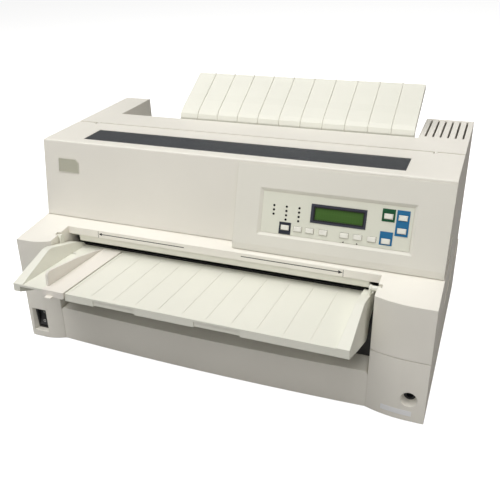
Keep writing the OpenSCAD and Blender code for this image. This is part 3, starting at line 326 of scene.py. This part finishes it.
def on_lip(x, down, out=0.0):
    y, z = LIP_EDGE
    return pt(x, y - down * LIP_SIN - out * LIP_COS, z - down * LIP_COS + out * LIP_SIN)


def on_block(x, z, out=0.0):
    """Front face of the right block: flat near the outer side, then bowed back."""
    inward = max(0.0, (BLOCK_FLAT_FROM - x) / BLOCK_BOW_OVER)
    return pt(x, BLOCK_FOOT + BLOCK_FALL * z + BLOCK_BOW * inward * inward - out, z)


# Outlines

def bar(x0, x1, at, width):
    return [(x0, at - width / 2), (x1, at - width / 2), (x1, at + width / 2), (x0, at + width / 2)]


def upright(x, d0, d1, width):
    return [(x - width / 2, d0), (x + width / 2, d0), (x + width / 2, d1), (x - width / 2, d1)]


def arrow_head(x, at, length, half):
    """A triangle with its point at x, towards +X; a negative length turns it round."""
    return [(x, at), (x - length, at - half), (x - length, at + half)]


def rounded(x0, y0, x1, y1, r, clip=0.0, steps=4):
    """Outline of a rectangle with rounded corners; clip cuts the corner at (x1, y1)."""
    left, right, low, high = x0 + r, x1 - r, y0 + r, y1 - r
    points = []
    for cx, cy, start in ((left, low, 180), (right, low, 270), (right, high, 0), (left, high, 90)):
        if clip and start == 0:
            points += [(x1, y1 - clip), (x1 - clip, y1)]
            continue
        for i in range(steps + 1):
            a = math.radians(start + 90 * i / steps)
            points.append((cx + r * math.cos(a), cy + r * math.sin(a)))
    return points


# Builders of pieces

def add_piece(name, mesh, body, mat):
    mesh.materials.append(mat)
    ob = bpy.data.objects.new(name, mesh)
    bpy.context.scene.collection.objects.link(ob)
    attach(ob, body)


def mesh_piece(name, verts, faces, body, mat):
    mesh = bpy.data.meshes.new(name)
    mesh.from_pydata([tuple(v) for v in verts], [], faces)
    mesh.update()
    add_piece(name, mesh, body, mat)


def prints(name, shapes, where, thick, body, mat, sunk=0.02):
    """Flat printed marks: outlines given on a face, each a little raised from it."""
    bm = bmesh.new()
    for shape in shapes:
        low = [bm.verts.new(where(a, b, -sunk)) for a, b in shape]
        high = [bm.verts.new(where(a, b, thick)) for a, b in shape]
        bm.faces.new(low[::-1])
        bm.faces.new(high)
        for i in range(len(low)):
            j = (i + 1) % len(low)
            bm.faces.new((low[i], low[j], high[j], high[i]))
    bmesh.ops.recalc_face_normals(bm, faces=bm.faces)
    mesh = bpy.data.meshes.new(name)
    bm.to_mesh(mesh)
    bm.free()
    add_piece(name, mesh, body, mat)


def rim(name, outer, inner, where, low, high, body, mat):
    """A narrow raised rim between two outlines with the same number of corners."""
    k = len(outer)
    verts = [where(a, b, h) for h in (low, high) for ring in (outer, inner) for a, b in ring]
    faces = []
    for i in range(k):
        j = (i + 1) % k
        faces.append((2 * k + i, 2 * k + j, 3 * k + j, 3 * k + i))
        faces.append((i, j, 2 * k + j, 2 * k + i))
        faces.append((k + j, k + i, 3 * k + i, 3 * k + j))
        faces.append((k + i, k + j, j, i))
    mesh_piece(name, verts, faces, body, mat)


# Long arrow on the lip: it shows how far paper may reach

LINE_W = 1.0
TICK_W = 0.5
TICK = (0.8, 10.2)                # from and to, down the lip


def lip_arrow():
    left_at, right_at = 4.9, 4.4
    left_tip, right_tip = -184.6, 169.8
    shapes = [bar(-181, -49, left_at, LINE_W), arrow_head(left_tip, left_at, -5.1, 2.0),
              upright(left_tip - 0.7, *TICK, TICK_W),
              bar(34.2, 165.5, right_at, LINE_W), arrow_head(right_tip, right_at, 5.6, 2.1),
              upright(right_tip + 0.6, *TICK, TICK_W)]
    prints("lip_arrow", shapes, on_lip, 0.12, "case", INK)


lip_arrow()


# Operator panel: arrow marks under the two middle keys, and the display's black mask

SHEET_FACE = -2.0                 # of the printed film, below the panel's face
BEZEL_FACE = -1.5
RECESS_X = 51.5                   # left edge of the panel's recess
DISPLAY_X = RECESS_X + 73.3
DISPLAY_DOWN = 50.1
DISPLAY_W = 61.0
DISPLAY_H = 15.6
MASK_W = 1.3


def key_arrows():
    shapes = [arrow_head(162.9, 88.7, -2.2, 1.1), arrow_head(182.9, 88.6, 2.2, 1.1)]
    prints("key_arrows", shapes, lambda x, d, n: on_panel(x, d, n + SHEET_FACE), 0.08, "hood", INK)


def display_mask():
    x0, x1 = DISPLAY_X, DISPLAY_X + DISPLAY_W
    d0, d1 = DISPLAY_DOWN, DISPLAY_DOWN + DISPLAY_H
    outer = rounded(x0 - MASK_W, d0 - MASK_W, x1 + MASK_W, d1 + MASK_W, 0.6)
    inner = rounded(x0 + 0.1, d0 + 0.1, x1 - 0.1, d1 - 0.1, 0.3)
    low, high = BEZEL_FACE - 0.1, BEZEL_FACE + 0.08
    rim("display_mask", outer, inner, on_panel, low, high, "hood", M["dark"])


key_arrows()
display_mask()


# Bare plate on the hood's front face, with a fine rim

PLATE = (-264, 232.5, -229.5, 252.3)
PLATE_T = 0.5
PLATE_RIM = 0.8


def name_plate():
    x0, z0, x1, z1 = PLATE
    outer = rounded(*PLATE, 0.8, clip=5.0)
    inner = rounded(x0 + PLATE_RIM, z0 + PLATE_RIM, x1 - PLATE_RIM, z1 - PLATE_RIM, 0.6, clip=4.6)
    prints("name_plate", [outer], on_hood, PLATE_T, "hood", NAME_PLATE)
    rim("name_plate_rim", outer, inner, on_hood, PLATE_T - 0.05, PLATE_T + 0.25, "hood", M["panel"])


name_plate()


# Bare label on the right block; it follows the block's bow

LABEL_X = (236.6, 274.4)
LABEL_Z = (10.0, 17.2)
LABEL_T = 0.16


def block_label():
    x0, x1 = LABEL_X
    n = 14
    verts = []
    for out in (0.0, LABEL_T):
        for z in LABEL_Z:
            verts += [on_block(x0 + (x1 - x0) * i / n, z, out) for i in range(n + 1)]
    k = n + 1
    faces = []
    for i in range(n):
        faces.append((2 * k + i, 2 * k + i + 1, 3 * k + i + 1, 3 * k + i))
        faces.append((i, k + i, k + i + 1, i + 1))
        faces.append((i, i + 1, 2 * k + i + 1, 2 * k + i))
        faces.append((k + i, 3 * k + i, 3 * k + i + 1, k + i + 1))
    faces += [(0, 2 * k, 3 * k, k), (n, k + n, 3 * k + n, 2 * k + n)]
    mesh_piece("block_label", verts, faces, "case", LABEL)


block_label()


# A bar and a ring on the power switch, as such switches carry

ROCKER_X = -271.35
ROCKER_AXIS = (-90.774, 31.05)    # Y and Z
ROCKER_REST = math.radians(-9)
ROCKER_FRONT = 6.0                # from the axis to the face's foot and head
ROCKER_HOLLOW = 1.6
ROCKER_HALF = 12.1364             # half the hollow's height
RING_Z = -7.2
RING_R = (2.1, 1.4)


def on_rocker(x, z, out):
    """The rocker's hollow face, at its rest tilt."""
    y0, z0 = ROCKER_AXIS
    y = -ROCKER_FRONT + ROCKER_HOLLOW * (1 - (z / ROCKER_HALF) ** 2) - out
    return pt(x, y0 + y * math.cos(ROCKER_REST) - z * math.sin(ROCKER_REST),
              z0 + y * math.sin(ROCKER_REST) + z * math.cos(ROCKER_REST))


def rocker_marks():
    steps = 16
    outer, inner = RING_R
    shapes = [upright(ROCKER_X, 5.4, 9.4, 0.8)]
    for i in range(steps):
        a, b = (2 * math.pi * j / steps for j in (i, i + 1))
        corners = ((outer, a), (outer, b), (inner, b), (inner, a))
        shapes.append([(ROCKER_X + r * math.cos(w), RING_Z + r * math.sin(w)) for r, w in corners])
    prints("rocker_marks", shapes, on_rocker, 0.1, "rocker", PALE_INK, sunk=0.05)


rocker_marks()


# Stage

FLOOR_HALF = 12.0
FLOOR_TONE = (0.42, 0.42, 0.42, 1)                  # for reflected light
FLOOR_SEEN = (0.98, 0.98, 0.98, 1)
FLOOR_GLOW = 0.85
WORLD_TONE = (0.05, 0.05, 0.049, 1)


def seen_by_camera(tree):
    return node(tree, "ShaderNodeLightPath").outputs["Is Camera Ray"]


def make_floor():
    mat, t, shader = new_material("pale_floor")
    shader.inputs["Roughness"].default_value = 0.9
    shader.inputs["Specular IOR Level"].default_value = 0.0
    seen = seen_by_camera(t)
    t.links.new(blend(t, "MIX", seen, FLOOR_TONE, FLOOR_SEEN), shader.inputs["Base Color"])
    shader.inputs["Emission Color"].default_value = (1, 1, 1, 1)
    t.links.new(math_node(t, "MULTIPLY", seen, FLOOR_GLOW), shader.inputs["Emission Strength"])
    s = FLOOR_HALF
    mesh = bpy.data.meshes.new("floor")
    mesh.from_pydata([(-s, -s, 0), (s, -s, 0), (s, s, 0), (-s, s, 0)], [], [(0, 1, 2, 3)])
    mesh.materials.append(mat)
    ob = bpy.data.objects.new("floor", mesh)
    bpy.context.scene.collection.objects.link(ob)


def make_world():
    world = bpy.data.worlds.new("studio")
    bpy.context.scene.world = world
    world.use_nodes = True
    t = world.node_tree
    background = t.nodes["Background"]
    tone = blend(t, "MIX", seen_by_camera(t), WORLD_TONE, (1, 1, 1, 1))
    t.links.new(tone, background.inputs["Color"])
    background.inputs["Strength"].default_value = 1.0


def area(name, place, target, size, power, color):
    light = bpy.data.lights.new(name, "AREA")
    light.shape = "RECTANGLE"
    light.size, light.size_y = size
    light.energy = power
    light.color = color
    ob = bpy.data.objects.new(name, light)
    bpy.context.scene.collection.objects.link(ob)
    ob.location = place
    ob.rotation_euler = (Vector(target) - Vector(place)).to_track_quat("-Z", "Y").to_euler()


SOFT_WHITE = (1.0, 0.99, 0.97)
WARM_WHITE = (1.0, 0.98, 0.96)

make_floor()
make_world()
area("overhead_left", (-0.7, 0.0, 2.1), (-0.1, 0, 0.2), (1.8, 1.4), 17.5, SOFT_WHITE)
area("overhead_right", (0.3, -0.3, 2.4), (0, 0, 0.2), (1.2, 1.2), 14.5, SOFT_WHITE)
area("overhead_front", (-0.6, -0.9, 2.2), (0, 0, 0.2), (1.0, 1.0), 8.4, (1.0, 0.99, 0.965))
area("front_high", (0.3, -2.0, 1.9), (0, 0, 0.15), (1.4, 1.0), 14, WARM_WHITE)
area("front_left", (-1.1, -1.4, 0.5), (-0.2, 0, 0.1), (0.8, 0.8), 2.3, WARM_WHITE)
area("front_right", (0.9, -1.6, 0.35), (0.15, 0, 0.06), (0.7, 0.5), 0.9, WARM_WHITE)
area("right", (2.2, -0.5, 1.0), (0, 0, 0.15), (1.2, 1.2), 5.8, (1.0, 0.92, 0.83))
area("rear", (0.2, 2.2, 0.45), (0, 0.1, 0.15), (1.2, 0.8), 7, WARM_WHITE)

bpy.context.scene.view_settings.view_transform = "Standard"
bpy.context.scene.view_settings.look = "None"
